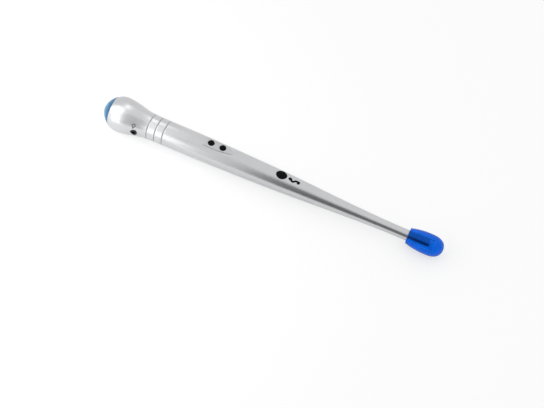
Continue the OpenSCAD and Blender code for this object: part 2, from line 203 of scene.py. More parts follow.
def round_axis(x, angle, radius):
    """Points at these distances, angles and radii about the stick's axis."""
    return np.stack([x + 0 * angle, -radius * np.sin(angle), radius * np.cos(angle)], -1)


# ---- surfaces as arrays: points, and faces of four corners (a triangle's fourth is -1) ----

SHARP_ANGLE = math.radians(38)  # edges that turn more than this stay sharp


def lines(start, end, step, *details):
    """Grid lines every step, with the details' own lines in place of the plain ones near them."""
    detail = np.concatenate([[start, end], *details])
    detail = detail[(detail >= start) & (detail <= end)]
    plain = np.linspace(start, end, int(np.ceil((end - start) / step)) + 1)
    near = np.min(np.abs(np.subtract.outer(plain, detail)), axis=1) < step * 0.3
    return np.unique(np.round(np.concatenate([plain[~near], detail]), 6))


def grid_faces(index):
    """Faces between neighbouring rows and columns of a table of point numbers."""
    corners = [index[:-1, :-1], index[1:, :-1], index[1:, 1:], index[:-1, 1:]]
    return np.stack([c.reshape(-1) for c in corners], 1)


def weld(points, faces):
    """Joins points that coincide. A face left with three corners is a triangle, and with two it goes."""
    _, first, number = np.unique(np.round(points, 5), axis=0, return_index=True, return_inverse=True)
    faces = number.reshape(-1)[faces]
    same = faces == np.roll(faces, -1, axis=1)
    doubled = same.sum(1)
    order = np.argsort(same[doubled == 1], axis=1, kind="stable")[:, :3]
    three = np.take_along_axis(faces[doubled == 1], order, 1)
    three = np.concatenate([three, np.full((len(three), 1), -1)], 1)
    return first, np.concatenate([faces[doubled == 0], three])


def open_edges(faces):
    """Directed edges that only one face uses."""
    last = np.where(faces[:, 3] < 0, faces[:, 0], faces[:, 3])
    loop = np.stack([faces[:, 0], faces[:, 1], faces[:, 2], last, faces[:, 0]], 1)
    edges = np.concatenate([loop[:, k : k + 2] for k in range(4)])
    edges = edges[edges[:, 0] != edges[:, 1]]
    size = faces.max() + 1
    return edges[~np.isin(edges[:, 0] * size + edges[:, 1], edges[:, 1] * size + edges[:, 0])]


def facing_out(points, faces):
    """Turns a closed surface's faces round if the volume that they enclose comes out negative."""
    last = np.where(faces[:, 3] < 0, faces[:, 2], faces[:, 3])
    a, b, c, d = (points[k] for k in (faces[:, 0], faces[:, 1], faces[:, 2], last))
    volume = np.einsum("ij,ij->", np.cross(a, b), c) + np.einsum("ij,ij->", np.cross(a, c), d)
    return points, faces if volume > 0 else faces[:, [2, 1, 0, 3]]


def walled(outer, inner, faces):
    """A wall with a thickness: the outer sheet, the inner one turned round, and a rim at open edges."""
    first, faces = weld(outer, faces)
    outer, inner = outer[first], inner[first]
    n = len(outer)
    edge = open_edges(faces)
    rim = np.stack([edge[:, 1], edge[:, 0], edge[:, 0] + n, edge[:, 1] + n], 1)
    back = faces[:, [2, 1, 0, 3]]
    back = np.where(back < 0, back, back + n)
    return facing_out(np.concatenate([outer, inner]), np.concatenate([faces, back, rim]))


def pierce(u, v, windows, flat, back):
    """Faces of a grid with round or oval holes.

    Each window gives four grid lines, and a centre, a radius and a stretch along the first axis in
    the flat plane. The cells inside are left out, and rings of points lead from the window's border
    to the hole's edge.
    """
    index = np.arange(u.size).reshape(u.shape)
    cells = np.ones((u.shape[0] - 1, u.shape[1] - 1), bool)
    for (i0, i1, j0, j1), *_ in windows:
        cells[i0:i1, j0:j1] = False
    faces = [grid_faces(index)[cells.reshape(-1)]]
    us, vs, count = [u.reshape(-1)], [v.reshape(-1)], u.size
    rings = np.array([0, 0.05, 0.12, 0.22, 0.36, 0.55, 0.77])[:, None]
    for (i0, i1, j0, j1), centre, radius, stretch in windows:
        border = [index[i0:i1, j0], index[i1, j0:j1], index[i1:i0:-1, j1], index[i0, j1:j0:-1]]
        border = np.concatenate(border)
        a, b = flat(us[0][border], vs[0][border])
        turn = np.arctan2(b - centre[1], a - centre[0])
        edge_a = centre[0] + radius * stretch * np.cos(turn)
        edge_b = centre[1] + radius * np.sin(turn)
        ring_u, ring_v = back(edge_a + (a - edge_a) * rings, edge_b + (b - edge_b) * rings)
        us.append(ring_u.reshape(-1))
        vs.append(ring_v.reshape(-1))
        number = count + np.arange(ring_u.size).reshape(ring_u.shape)
        number = np.concatenate([number, border[None]])
        faces.append(grid_faces(np.concatenate([number, number[:, :1]], 1)))
        count += ring_u.size
    return np.concatenate(us), np.concatenate(vs), np.concatenate(faces)


def turned(profile, around, ring=False):
    """A profile of (distance along the axis, radius) carried round it; ring joins its two ends."""
    profile = np.asarray(profile, float)
    if ring:
        profile = np.concatenate([profile, profile[:1]])
    turn = np.linspace(0, 2 * np.pi, around + 1)
    turn[-1] = 0
    h, r = profile[:, :1], profile[:, 1:]
    points = np.stack([h + 0 * turn, r * np.cos(turn), r * np.sin(turn)], -1).reshape(-1, 3)
    first, faces = weld(points, grid_faces(np.arange(len(points)).reshape(len(profile), -1)))
    return facing_out(points[first], faces)


def stood_up(solid, x, y=0.0, stretch=1.0):
    """A turned solid with its axis upwards at distance x and sideways place y, stretched along x."""
    points, faces = solid
    h, a, b = points.T
    return facing_out(np.stack([x + a * stretch, y + b, h], 1), faces)


def stood_out(solid, x):
    """A turned solid with its axis towards the socket's side, through distance x."""
    points, faces = solid
    h, a, b = points.T
    return facing_out(np.stack([x + a, -h, b], 1), faces)


def joined(*solids):
    """Several closed surfaces as one piece."""
    starts = np.cumsum([0] + [len(p) for p, _ in solids])
    faces = [np.where(f < 0, f, f + s) for (_, f), s in zip(solids, starts)]
    return np.concatenate([p for p, _ in solids]), np.concatenate(faces)


def swept(path, side, lift, half_width, half_height, corners):
    """An oval carried along a path: side and lift are its directions, and it closes at both ends."""
    turn = np.linspace(0, 2 * np.pi, corners + 1)
    turn[-1] = 0
    across = side[:, None] * (half_width[:, None] * np.cos(turn))[..., None]
    up = lift[:, None] * (half_height[:, None] * np.sin(turn))[..., None]
    points = (path[:, None] + across + up).reshape(-1, 3)
    first, faces = weld(points, grid_faces(np.arange(len(points)).reshape(len(path), -1)))
    return facing_out(points[first], faces)


def rounded_rows(corners, round_r, steps):
    """An outline with its inner corners rounded by quarter turns of about round_r."""
    corners = np.asarray(corners, float)
    rows = [corners[:1]]
    for before, corner, after in zip(corners[:-2], corners[1:-1], corners[2:]):
        lead, leave = before - corner, after - corner
        reach = min(round_r, np.linalg.norm(lead) / 2, np.linalg.norm(leave) / 2)
        start = corner + lead / np.linalg.norm(lead) * reach
        end = corner + leave / np.linalg.norm(leave) * reach
        u = np.linspace(0, 1, steps + 1)[:, None]
        rows.append(start * (1 - u) ** 2 + corner * 2 * u * (1 - u) + end * u**2)
    return np.concatenate(rows + [corners[-1:]])


def bare_and_shade_share(points):
    """0 on the painted skin and 1 inside, where no paint reaches; in between, in grooves, seams and the
    recess's fine line, it is painted shade.
    """
    x, y, z = points.T
    return smooth(radius_at(x) - np.hypot(y, z), 0.02, 0.75)


def mark(mesh, name, values):
    """Stores a value at each point of a mesh, for its finish to read."""
    made = mesh.attributes.new(name, "FLOAT", "POINT")
    made.data.foreach_set("value", values.astype(np.float32))


def piece(name, solid, finish, body, slot, *stands_for):
    """Puts a surface into a mesh in the row frame, with its finish, and lets it ride on a body."""
    points, faces = solid
    mesh = bpy.data.meshes.new(name)
    rows = [row[:3] if row[3] < 0 else row for row in faces.tolist()]
    mesh.from_pydata(((points + SHIFT) * MM).tolist(), [], rows)
    # by depth under the outline: painted shade in grooves and seams, and bare plastic inside the shells
    mark(mesh, "bare_and_shade", bare_and_shade_share(points))
    mesh.shade_smooth()
    mesh.set_sharp_from_angle(angle=SHARP_ANGLE)
    mesh.materials.append(finish)
    made = bpy.data.objects.new(name, mesh)
    bpy.context.scene.collection.objects.link(made)
    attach(made, body)
    if stands_for:
        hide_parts(*stands_for)
    return made


# ---- finishes ----


def wire(tree, kind, inputs, **settings):
    """A node with its settings; inputs are values or other nodes' sockets."""
    made = tree.nodes.new(kind)
    for key, value in settings.items():
        setattr(made, key, value)
    for key, value in inputs.items():
        if isinstance(value, bpy.types.NodeSocket):
            tree.links.new(value, made.inputs[key])
        else:
            made.inputs[key].default_value = value
    return made


def shaded_finish(name, pale, dark, mottle, grain, roughness, relief, relief_depth, sockets):
    """A finish whose colour mottles between two tones, with a finer grain in roughness and relief.

    mottle, grain and relief are sizes in millimetres, and relief_depth is its depth.
    """
    made = bpy.data.materials.new(name)
    made.use_nodes = True
    tree = made.node_tree
    shader = tree.nodes["Principled BSDF"]
    place = wire(tree, "ShaderNodeTexCoord", {}).outputs["Object"]
    patches = wire(tree, "ShaderNodeTexNoise", {"Vector": place, "Scale": 1 / (mottle * MM), "Detail": 3.0})
    tone = wire(tree, "ShaderNodeValToRGB", {"Fac": patches.outputs["Fac"]})
    for stop, at, colour in zip(tone.color_ramp.elements, (0.34, 0.66), (dark, pale)):
        stop.position = at
        stop.color = (*colour, 1)
    tree.links.new(tone.outputs["Color"], shader.inputs["Base Color"])
    fine = wire(tree, "ShaderNodeTexNoise", {"Vector": place, "Scale": 1 / (grain * MM), "Detail": 2.0})
    span = {"Value": fine.outputs["Fac"], "To Min": roughness[0], "To Max": roughness[1]}
    rough = wire(tree, "ShaderNodeMapRange", span)
    tree.links.new(rough.outputs[0], shader.inputs["Roughness"])
    bumps = wire(tree, "ShaderNodeTexNoise", {"Vector": place, "Scale": 1 / (relief * MM), "Detail": 2.0})
    lift = {"Height": bumps.outputs["Fac"], "Distance": relief_depth * MM, "Strength": 1.0}
    bump = wire(tree, "ShaderNodeBump", lift)
    tree.links.new(bump.outputs[0], shader.inputs["Normal"])
    for key, value in sockets.items():
        shader.inputs[key].default_value = value
    return made


def blend_colour(made, share, colour):
    """Blends a finish's own colour towards another by a share from 0 to 1."""
    own = made.node_tree.nodes["Principled BSDF"].inputs["Base Color"]
    tones = {0: share, 6: own.links[0].from_socket, 7: (*colour, 1)}
    both = wire(made.node_tree, "ShaderNodeMix", tones, data_type="RGBA")
    made.node_tree.links.new(both.outputs[2], own)


def silver_lacquer():
    """Metallic lacquer: fine flakes under a thin clear coat, over grey plastic that shows where bare;
    grooves and seams turn dark grey and dull as painted shade.
    """
    made = shaded_finish(
        "silver_paint", (0.80, 0.805, 0.82), (0.76, 0.765, 0.785), 30, 0.25, (0.24, 0.30), 0.12, 0.0005,
        {"Coat Weight": 0.4, "Coat Roughness": 0.08, "Coat IOR": 1.45},
    )
    tree = made.node_tree
    shader = tree.nodes["Principled BSDF"]
    # dark grey, dull and not metallic: bare plastic inside the shells, and painted shade in grooves, seams
    # and the recess's line
    bare_and_shade = wire(tree, "ShaderNodeAttribute", {}, attribute_name="bare_and_shade").outputs["Fac"]
    blend_colour(made, bare_and_shade, (0.10, 0.10, 0.105))
    metal = wire(tree, "ShaderNodeMapRange", {"Value": bare_and_shade, "To Min": 1.0, "To Max": 0.0})
    tree.links.new(metal.outputs[0], shader.inputs["Metallic"])
    smooth_paint = shader.inputs["Roughness"].links[0].from_socket
    rough = wire(tree, "ShaderNodeMix", {0: bare_and_shade, 2: smooth_paint, 3: 0.55}, data_type="FLOAT")
    tree.links.new(rough.outputs[0], shader.inputs["Roughness"])
    return made


def lens_plastic():
    """Clear deep blue; the cavity's walls pass light untinted, so that the blue counts once each way."""
    made = shaded_finish(
        "clear_blue", (0.004, 0.115, 0.64), (0.003, 0.090, 0.55), 12, 2.0, (0.03, 0.07), 1.5, 0.004,
        {
            "Transmission Weight": 0.94,
            "IOR": 1.45,
            "Specular IOR Level": 0.12,
            "Specular Tint": (0.2, 0.5, 1, 1),
        },
    )
    cavity = wire(made.node_tree, "ShaderNodeAttribute", {}, attribute_name="cavity").outputs["Fac"]
    blend_colour(made, cavity, (1, 1, 1))
    return made


def cap_plastic():
    """Clear pale blue, deeper towards the rim as painted shade, where the dome stands over the dark inside
    of the shell.
    """
    made = shaded_finish(
        "cap_blue", (0.30, 0.60, 0.83), (0.24, 0.54, 0.78), 12, 2.0, (0.12, 0.18), 1.5, 0.004,
        {"Transmission Weight": 0.6, "IOR": 1.45, "Specular IOR Level": 0.3},
    )
    tree = made.node_tree
    place = wire(tree, "ShaderNodeTexCoord", {}).outputs["Object"]
    along_stick = wire(tree, "ShaderNodeSeparateXYZ", {0: place}).outputs["X"]
    # painted shade: the blue deepens along the stick from near the butt end to the rim
    shade_start_x, shade_full_x = BUTT_X + 2.0, CAP_EDGE_X - 0.2
    span = {"Value": along_stick, "From Min": (shade_start_x + SHIFT[0]) * MM}
    span["From Max"] = (shade_full_x + SHIFT[0]) * MM
    deep = wire(tree, "ShaderNodeMapRange", span).outputs[0]
    blend_colour(made, deep, (0.05, 0.26, 0.52))
    return made


silver_paint = silver_lacquer()
clear_blue = lens_plastic()
cap_blue = cap_plastic()
black_rubber = shaded_finish(
    "black_rubber", (0.006, 0.006, 0.007), (0.003, 0.003, 0.004), 3, 0.3, (0.38, 0.5), 0.15, 0.01,
    {"Specular IOR Level": 0.07},
)
black_plastic = shaded_finish(
    "black_plastic", (0.010, 0.010, 0.011), (0.006, 0.006, 0.007), 4, 0.5, (0.16, 0.24), 0.4, 0.002,
    {"Specular IOR Level": 0.35},
)
print_ink = shaded_finish(
    "print_ink", (0.006, 0.006, 0.007), (0.003, 0.003, 0.004), 0.8, 0.2, (0.45, 0.6), 0.1, 0.003,
    {"Specular IOR Level": 0.1},
)
board_mask = shaded_finish(
    "board_mask", (0.03, 0.20, 0.07), (0.02, 0.13, 0.045), 1.6, 0.4, (0.25, 0.4), 0.25, 0.01,
    {"Coat Weight": 0.3},
)
plated_steel = shaded_finish(
    "plated_steel", (0.66, 0.67, 0.69), (0.55, 0.56, 0.58), 2.5, 0.2, (0.22, 0.36), 0.2, 0.003,
    {"Metallic": 1.0},
)
bright_plating = shaded_finish(
    "bright_plating", (0.94, 0.98, 1.0), (0.88, 0.94, 0.97), 3, 0.2, (0.16, 0.24), 0.3, 0.002,
    {"Metallic": 1.0},
)
bare_brass = shaded_finish(
    "bare_brass", (0.80, 0.58, 0.26), (0.66, 0.45, 0.18), 1.8, 0.2, (0.24, 0.4), 0.2, 0.003,
    {"Metallic": 1.0},
)
cone_paper = shaded_finish(
    "cone_paper", (0.42, 0.40, 0.36), (0.33, 0.31, 0.28), 1.2, 0.25, (0.75, 0.95), 0.3, 0.05,
    {"Sheen Weight": 0.2},
)
grey_plastic = shaded_finish(
    "grey_plastic", (0.11, 0.115, 0.125), (0.08, 0.085, 0.095), 6, 0.4, (0.42, 0.58), 0.35, 0.01, {},
)
clear_lamp = shaded_finish(
    "clear_lamp", (0.90, 0.94, 1.0), (0.80, 0.86, 0.95), 2, 0.5, (0.05, 0.12), 0.5, 0.003,
    {"Transmission Weight": 0.85, "IOR": 1.5},
)
cell_sleeve = shaded_finish(
    "cell_sleeve", (0.10, 0.22, 0.50), (0.07, 0.16, 0.40), 8, 0.3, (0.22, 0.34), 0.3, 0.002,
    {"Metallic": 0.35, "Coat Weight": 0.4},
)
lead_insulation = shaded_finish(
    "lead_insulation", (0.42, 0.035, 0.03), (0.30, 0.02, 0.02), 3, 0.3, (0.35, 0.5), 0.3, 0.004, {},
)

NODE_FINISHES = {
    "door_screw": plated_steel,
    "speaker_ring": grey_plastic,
    "speaker_frame": plated_steel,
    "speaker_magnet": plated_steel,
    "speaker_cone": cone_paper,
    "headphone_jack": black_plastic,
    "circuit_board": board_mask,
    "sound_chip": black_plastic,
    "capacitor": grey_plastic,
    "switch_domes": plated_steel,
    "battery_tray": grey_plastic,
    "board_screws": plated_steel,
    "battery_rear": cell_sleeve,
    "battery_middle": cell_sleeve,
    "battery_front": cell_sleeve,
    "negative_spring": plated_steel,
    "positive_contact": plated_steel,
    "tip_holder": bright_plating,
    "tip_led": clear_lamp,
    "tip_leads": lead_insulation,
    "speaker_leads": lead_insulation,
    "motion_switch_case": bare_brass,
    "motion_switch_spring": plated_steel,
    "motion_switch_weight": bare_brass,
}
for node_name, node_finish in NODE_FINISHES.items():
    node_mesh = frame["nodes"][node_name].data
    node_mesh.materials.clear()
    node_mesh.materials.append(node_finish)


# ---- silver shells ----

SEAM_STEPS = np.array([0, 0.06, 0.12, 0.2, 0.32])  # grid lines beside an edge
SIDE = math.pi / 2  # the socket's side, where upper and lower shells meet
LEAF_R = 5.4  # half width of the leaf-shaped recess round the small buttons
LEAF_X0, LEAF_WIDE_X, LEAF_X1, LEAF_END_X = 100.4, 110.4, 135.4, 139.4
LEAF_RETURN = 28  # ahead of its end, where its middle and its side return to the top
LEAF_DEPTH = 0.16
LEAF_LINE = 0.4  # depth of the fine line along its sides
LEAF_LABEL = 21.5  # names the grid line that follows its side
WINDOW_LABEL = 18.5  # names the grid line beside the buttons
WINDOW_MARGIN = 0.9  # from a button's hole to the grid lines round it
FRONT_WINDOW_ANGLE = 38.0  # degrees of the grid line that clears the front button
NOTCH_ANGLE = math.radians(60)  # from here down the grid bends round the socket
DOOR_SCREW_WINDOW = 3.0  # half the window round the screw's hole, along the stick
DOOR_SCREW_ANGLE = 0.29  # and across it, in radians
CRADLE_XS = (86.0, 130.0, 172.0)


def shell_wall(x, angle, drop, faces):
    """A wall from the outline less the drop, outside, to the shells' inner radius."""
    outside = round_axis(x, angle, radius_at(x) - drop)
    return walled(outside, round_axis(x, angle, inner_at(x)), faces)


def seam_round(x):
    """The door's seams are rounded; the glued ones further back and forward are hairlines."""
    door = (x > DOOR_X0 - 0.3) & (x < SHAFT_X0 + 0.3)
    return np.where(door, SEAM_ROUND, HAIRLINE_ROUND)


def half_chord(off_middle, round_r):
    """Half the width of a round opening at this distance from its middle, and 0 beyond it."""
    return np.sqrt(np.clip(round_r**2 - off_middle**2, 0, None))


def leaf_middle(x):
    """Angle of the recess's middle, over the small buttons; it returns to the top ahead of them."""
    aside = math.asin(BUTTON_Y["rear_button"] / float(radius_at(BUTTON_X["rear_button"])))
    return -aside * (1 - smooth(x, LEAF_X1, LEAF_X1 + LEAF_RETURN))


def leaf_half_width(x):
    """The shallow recess round the small buttons: full width, then a parabola that narrows to a leaf."""
    t = np.clip((x - LEAF_WIDE_X) / (LEAF_END_X - LEAF_WIDE_X), 0, 1)
    end = (LEAF_X1 - LEAF_WIDE_X) / (LEAF_END_X - LEAF_WIDE_X)
    return LEAF_R * (1 - np.minimum(t, end) ** 2)


def leaf_drop(x, angle, radius):
    """Depth of the recess: a step and a fine line along its sides, which fade at its ends."""
    inside = leaf_half_width(x) - radius * np.abs(angle - leaf_middle(x))
    fade = smooth(x, LEAF_X0, LEAF_X0 + 4) * (1 - smooth(x, LEAF_X1 - 10, LEAF_X1))
    line = smooth(inside, 0, 0.3) * (1 - smooth(inside, 0.3, 0.6))
    return fade * (LEAF_DEPTH * smooth(inside, 0, 0.4) + LEAF_LINE * line)


def groove_lines():
    """Grid lines across each groove."""
    across = np.array([-0.7, -0.55, -0.42, -0.22, -0.08, 0, 0.08, 0.22, 0.42, 0.55, 0.7])
    return np.add.outer(GROOVE_XS, across * GROOVE_W).reshape(-1)


def button_side(u, v):
    """Seen from the buttons' side: distance along, and distance across."""
    return u, radius_at(u) * np.sin(v)


def button_side_back(a, b):
    """The distance along and the angle of a place seen from the buttons' side."""
    return a, np.arcsin(np.clip(b / radius_at(a), -1, 1))


def floor_side(u, v):
    """Seen from below: distance along, and distance across."""
    return u, -radius_at(u) * np.sin(v)


def floor_side_back(a, b):
    """The distance along and the angle of a place seen from below."""
    return a, math.pi + np.arcsin(np.clip(b / radius_at(a), -1, 1))


def leaf_angle(x):
    """Angle of the grid line that follows the recess's side, then clears the front button."""
    leaf = np.degrees(leaf_half_width(x) / radius_at(x))
    at_end = np.degrees(leaf_half_width(LEAF_X1) / radius_at(LEAF_X1))
    ahead = at_end + (FRONT_WINDOW_ANGLE - at_end) * smooth(x, LEAF_X1, LEAF_X1 + LEAF_RETURN)
    return np.where(x < LEAF_X1, leaf, ahead)


def notch_side(x):
    """The angle at which the upper shell ends: its side, or the edge of the socket's notch."""
    return SIDE - np.arcsin(half_chord(x - JACK_X, NOTCH_R) / radius_at(x))


def top_grid(spans, windows):
    """The upper shell's grid lines, and the distance and angle at each of their crossings."""
    notch = JACK_X + NOTCH_R * np.cos(np.linspace(0, np.pi, 19))
    ends = np.concatenate([SHELL_X0 + SEAM_STEPS, SHELL_X1 - SEAM_STEPS])
    leaf = np.arange(LEAF_X0, LEAF_X1, 0.9)
    leaf = leaf[np.min([np.abs(leaf - BUTTON_X[n]) - w for n, w in windows.items()], axis=0) > 0.3]
    xs = lines(SHELL_X0, SHELL_X1, 2.0, ends, groove_lines(), notch, leaf, *spans.values())
    between = np.linspace(-WINDOW_LABEL, WINDOW_LABEL, 19)
    step = np.array([-2.0, -1.4, -0.9, -0.4, 0, 0.6])
    sides = np.concatenate([LEAF_LABEL + step, [27], np.arange(30, 86, 3.5), 90 - SEAM_STEPS * 6])
    labels = np.unique(np.concatenate([between, sides, -sides]))
    x, label = np.meshgrid(xs, labels, indexing="ij")
    follow = leaf_angle(x)
    middle = np.degrees(leaf_middle(x))
    near = middle + label * follow / LEAF_LABEL
    share = (np.abs(label) - LEAF_LABEL) / (90 - LEAF_LABEL)
    start = middle + np.sign(label) * follow
    past = start + (np.sign(label) * 90 - start) * share
    angle = np.radians(np.where(np.abs(label) < LEAF_LABEL, near, past))
    bend = (notch_side(x) - NOTCH_ANGLE) / (SIDE - NOTCH_ANGLE)
    angle = np.where(angle > NOTCH_ANGLE, NOTCH_ANGLE + (angle - NOTCH_ANGLE) * bend, angle)
    return xs, labels, x, angle


def top_shell():
    """The upper shell: a half turn of the outline, pierced for the buttons and notched for the socket."""
    windows = {n: BUTTON_R[n] * BUTTON_STRETCH[n] + WINDOW_MARGIN for n in BUTTONS}
    spans = {n: np.linspace(BUTTON_X[n] - w, BUTTON_X[n] + w, 19) for n, w in windows.items()}
    xs, labels, x, angle = top_grid(spans, windows)
    column = [int(np.argmin(np.abs(labels - s * WINDOW_LABEL))) for s in (-1, 1)]
    holes = []
    for name, span in spans.items():
        rows = [int(np.argmin(np.abs(xs - span[k]))) for k in (0, -1)]
        centre = (BUTTON_X[name], -BUTTON_Y[name])
        holes.append(((*rows, *column), centre, BUTTON_R[name] + BUTTON_GAP, BUTTON_STRETCH[name]))
    x, angle, faces = pierce(x, angle, holes, button_side, button_side_back)
    radius = radius_at(x)
    to_side = radius * np.minimum(notch_side(x) - angle, angle + SIDE)
    drop = groove_drop(x) + leaf_drop(x, angle, radius) + edge_drop(to_side, seam_round(x))
    drop += edge_drop(x - SHELL_X0, SEAM_ROUND) + edge_drop(SHELL_X1 - x, SEAM_ROUND)
    for _, centre, hole_r, stretch in holes:
        to_hole = np.hypot((x - centre[0]) / stretch, radius * np.sin(angle) - centre[1]) - hole_r
        drop += edge_drop(to_hole, HOLE_ROUND)
    return shell_wall(x, angle, drop, faces)


def bulb_under():
    """The bulb's fixed underside: the other half turn behind the door, notched at the socket."""
    ends = np.concatenate([SHELL_X0 + SEAM_STEPS, BULB_X1 - SEAM_STEPS])
    xs = lines(SHELL_X0, BULB_X1, 1.4, ends)
    edge = np.concatenate([SEAM_STEPS * 5, 180 - SEAM_STEPS * 5, np.linspace(2, 15, 12)])
    labels = lines(0, 180, 4, edge)
    x, label = np.meshgrid(xs, labels, indexing="ij")
    angle = SIDE + np.radians(label)
    below = radius_at(JACK_X) * -np.cos(angle)
    in_notch = (np.abs(below) < NOTCH_R) & (label < 90)
    front = np.where(in_notch, JACK_X - half_chord(below, NOTCH_R), BULB_X1)
    bend_x = 30.0  # ahead of here the grid bends back to the notch
    x = np.where(x > bend_x, bend_x + (x - bend_x) * (front - bend_x) / (BULB_X1 - bend_x), x)
    radius = radius_at(x)
    to_side = radius * np.minimum(angle - SIDE, 3 * SIDE - angle)
    drop = edge_drop(to_side, HAIRLINE_ROUND) + edge_drop(front - x, SEAM_ROUND)
    drop += edge_drop(x - SHELL_X0, SEAM_ROUND)
    x, angle, radius, drop = (k.reshape(-1) for k in (x, angle, radius, drop))
    faces = grid_faces(np.arange(x.size).reshape(len(xs), -1))
    return shell_wall(x, angle, drop, faces)


def door_rear(angle):
    """Where the door starts: its plain rear edge, or the edge of its bite on the socket's side."""
    below = radius_at(JACK_X) * -np.cos(angle)
    bite = np.maximum(JACK_X + half_chord(below, BITE_R), DOOR_X0)
    return np.where(angle < math.pi, bite, DOOR_X0)


def door_skin():
    """The battery door: a half turn under the grip, with its screw's hole and a bite for the socket."""
    span = np.linspace(SCREW_X - DOOR_SCREW_WINDOW, SCREW_X + DOOR_SCREW_WINDOW, 15)
    ends = np.concatenate([DOOR_X0 + SEAM_STEPS, DOOR_X1 - SEAM_STEPS])
    xs = lines(DOOR_X0, DOOR_X1, 2.0, ends, span, groove_lines())
    low = math.degrees(math.pi - DOOR_SCREW_ANGLE)
    middle = np.linspace(low, 360 - low, 15) - 90
    edge = np.concatenate([SEAM_STEPS * 6, 180 - SEAM_STEPS * 6, np.linspace(2.5, 17, 10)])
    labels = lines(0, 180, 4, edge, middle)
    x, label = np.meshgrid(xs, labels, indexing="ij")
    gap = np.arcsin(DOOR_GAP / radius_at(x))
    angle = SIDE + gap + np.radians(label) * (1 - 2 * gap / math.pi)
    rear = door_rear(angle)
    bend_x = 49.8  # behind here the grid bends forward to the bite
    x = np.where(x < bend_x, bend_x - (bend_x - x) * (bend_x - rear) / (bend_x - DOOR_X0), x)
    column = [int(np.argmin(np.abs(labels - middle[k]))) for k in (0, -1)]
    rows = [int(np.argmin(np.abs(xs - span[k]))) for k in (0, -1)]
    hole = [((*rows, *column), (SCREW_X, 0.0), SCREW_HOLE_R, 1.0)]
    x, angle, faces = pierce(x, angle, hole, floor_side, floor_side_back)
    radius = radius_at(x)
    gap = np.arcsin(DOOR_GAP / radius)
    to_side = radius * np.minimum(angle - SIDE - gap, 3 * SIDE - gap - angle)
    drop = groove_drop(x) + edge_drop(to_side, SEAM_ROUND)
    drop += edge_drop(x - door_rear(angle), SEAM_ROUND) + edge_drop(DOOR_X1 - x, SEAM_ROUND)
    to_hole = np.hypot(x - SCREW_X, radius * np.sin(angle)) - SCREW_HOLE_R
    drop += edge_drop(to_hole, SCREW_HOLE_ROUND)
    return shell_wall(x, angle, drop, faces)


def shaft_under():
    """The shaft's fixed underside, ahead of the door."""
    ends = np.concatenate([SHAFT_X0 + SEAM_STEPS, SHELL_X1 - SEAM_STEPS])
    xs = lines(SHAFT_X0, SHELL_X1, 2.0, ends)
    labels = lines(0, 180, 4, SEAM_STEPS * 5, 180 - SEAM_STEPS * 5)
    x, label = np.meshgrid(xs, labels, indexing="ij")
    x, angle = x.reshape(-1), SIDE + np.radians(label.reshape(-1))
    radius = radius_at(x)
    drop = edge_drop(radius * np.minimum(angle - SIDE, 3 * SIDE - angle), HAIRLINE_ROUND)
    drop += edge_drop(x - SHAFT_X0, SEAM_ROUND) + edge_drop(SHELL_X1 - x, SEAM_ROUND)
    faces = grid_faces(np.arange(x.size).reshape(len(xs), -1))
    return shell_wall(x, angle, drop, faces)


def door_fittings():
    """Inside the door: three cradles for the cells, the screw's seat and the tongue."""
    cell_z, cell_clear_r, rib_t = -1.3, 5.45, 1.2
    ribs = []
    for rib_x in CRADLE_XS:
        angle = np.linspace(math.radians(119), math.radians(241), 41)
        outer_r = inner_at(rib_x) + 0.3
        inner_r = -cell_z * -np.cos(angle) + np.sqrt(cell_clear_r**2 - (cell_z * np.sin(angle)) ** 2)
        share = np.linspace(0, 1, 4)
        a, s = np.meshgrid(angle, share, indexing="ij")
        r = inner_r[:, None] + (outer_r - inner_r[:, None]) * s
        faces = grid_faces(np.arange(a.size).reshape(a.shape))
        sheets = [
            round_axis(np.full(a.size, rib_x + k), a.reshape(-1), r.reshape(-1))
            for k in (-rib_t / 2, rib_t / 2)
        ]
        ribs.append(walled(*sheets, faces))
    floor_z = -radius_at(SCREW_X)
    seat = [[floor_z + 1.3, 1.3], [floor_z + 1.3, 3.3], [floor_z + 3, 3.3], [floor_z + 3, 1.3]]
    seat = stood_up(turned(rounded_rows(seat + seat[:1], 0.15, 2)[:-1], 48, ring=True), SCREW_X)
    tongue_x = np.array([DOOR_X1 - 5.2, DOOR_X1 - 3, DOOR_X1 - 1, DOOR_X1 + 1, DOOR_X1 + 2, DOOR_X1 + 2.3])
    depth = np.array([1.15, 1.1, 0.7, 0.45, 0.4, 0.25])
    middle_z = np.array([-5.45, -5.4, -5.0, -4.75, -4.75, -4.75])
    path = np.stack([tongue_x, 0 * tongue_x, middle_z], 1)
    path = np.concatenate([path[:1], path, path[-1:]])
    side = np.tile([0.0, 1.0, 0.0], (len(path), 1))
    lift = np.tile([0.0, 0.0, 1.0], (len(path), 1))
    wide = np.concatenate([[0], np.full(len(tongue_x), 2.0), [0]])
    tongue = swept(path, side, lift, wide, np.concatenate([[0], depth, [0]]), 24)
    return joined(*ribs, seat, tongue)


# ---- end cap, tip lens, buttons, socket ring and print ----

def cap_face(rho, turn):
    """Seen along the stick: two distances across, from a radius and an angle."""
    return rho * np.cos(turn), rho * np.sin(turn)


def cap_face_back(a, b):
    """The radius and the angle of a place seen along the stick."""
    return np.hypot(a, b), np.arctan2(b, a) % (2 * np.pi)


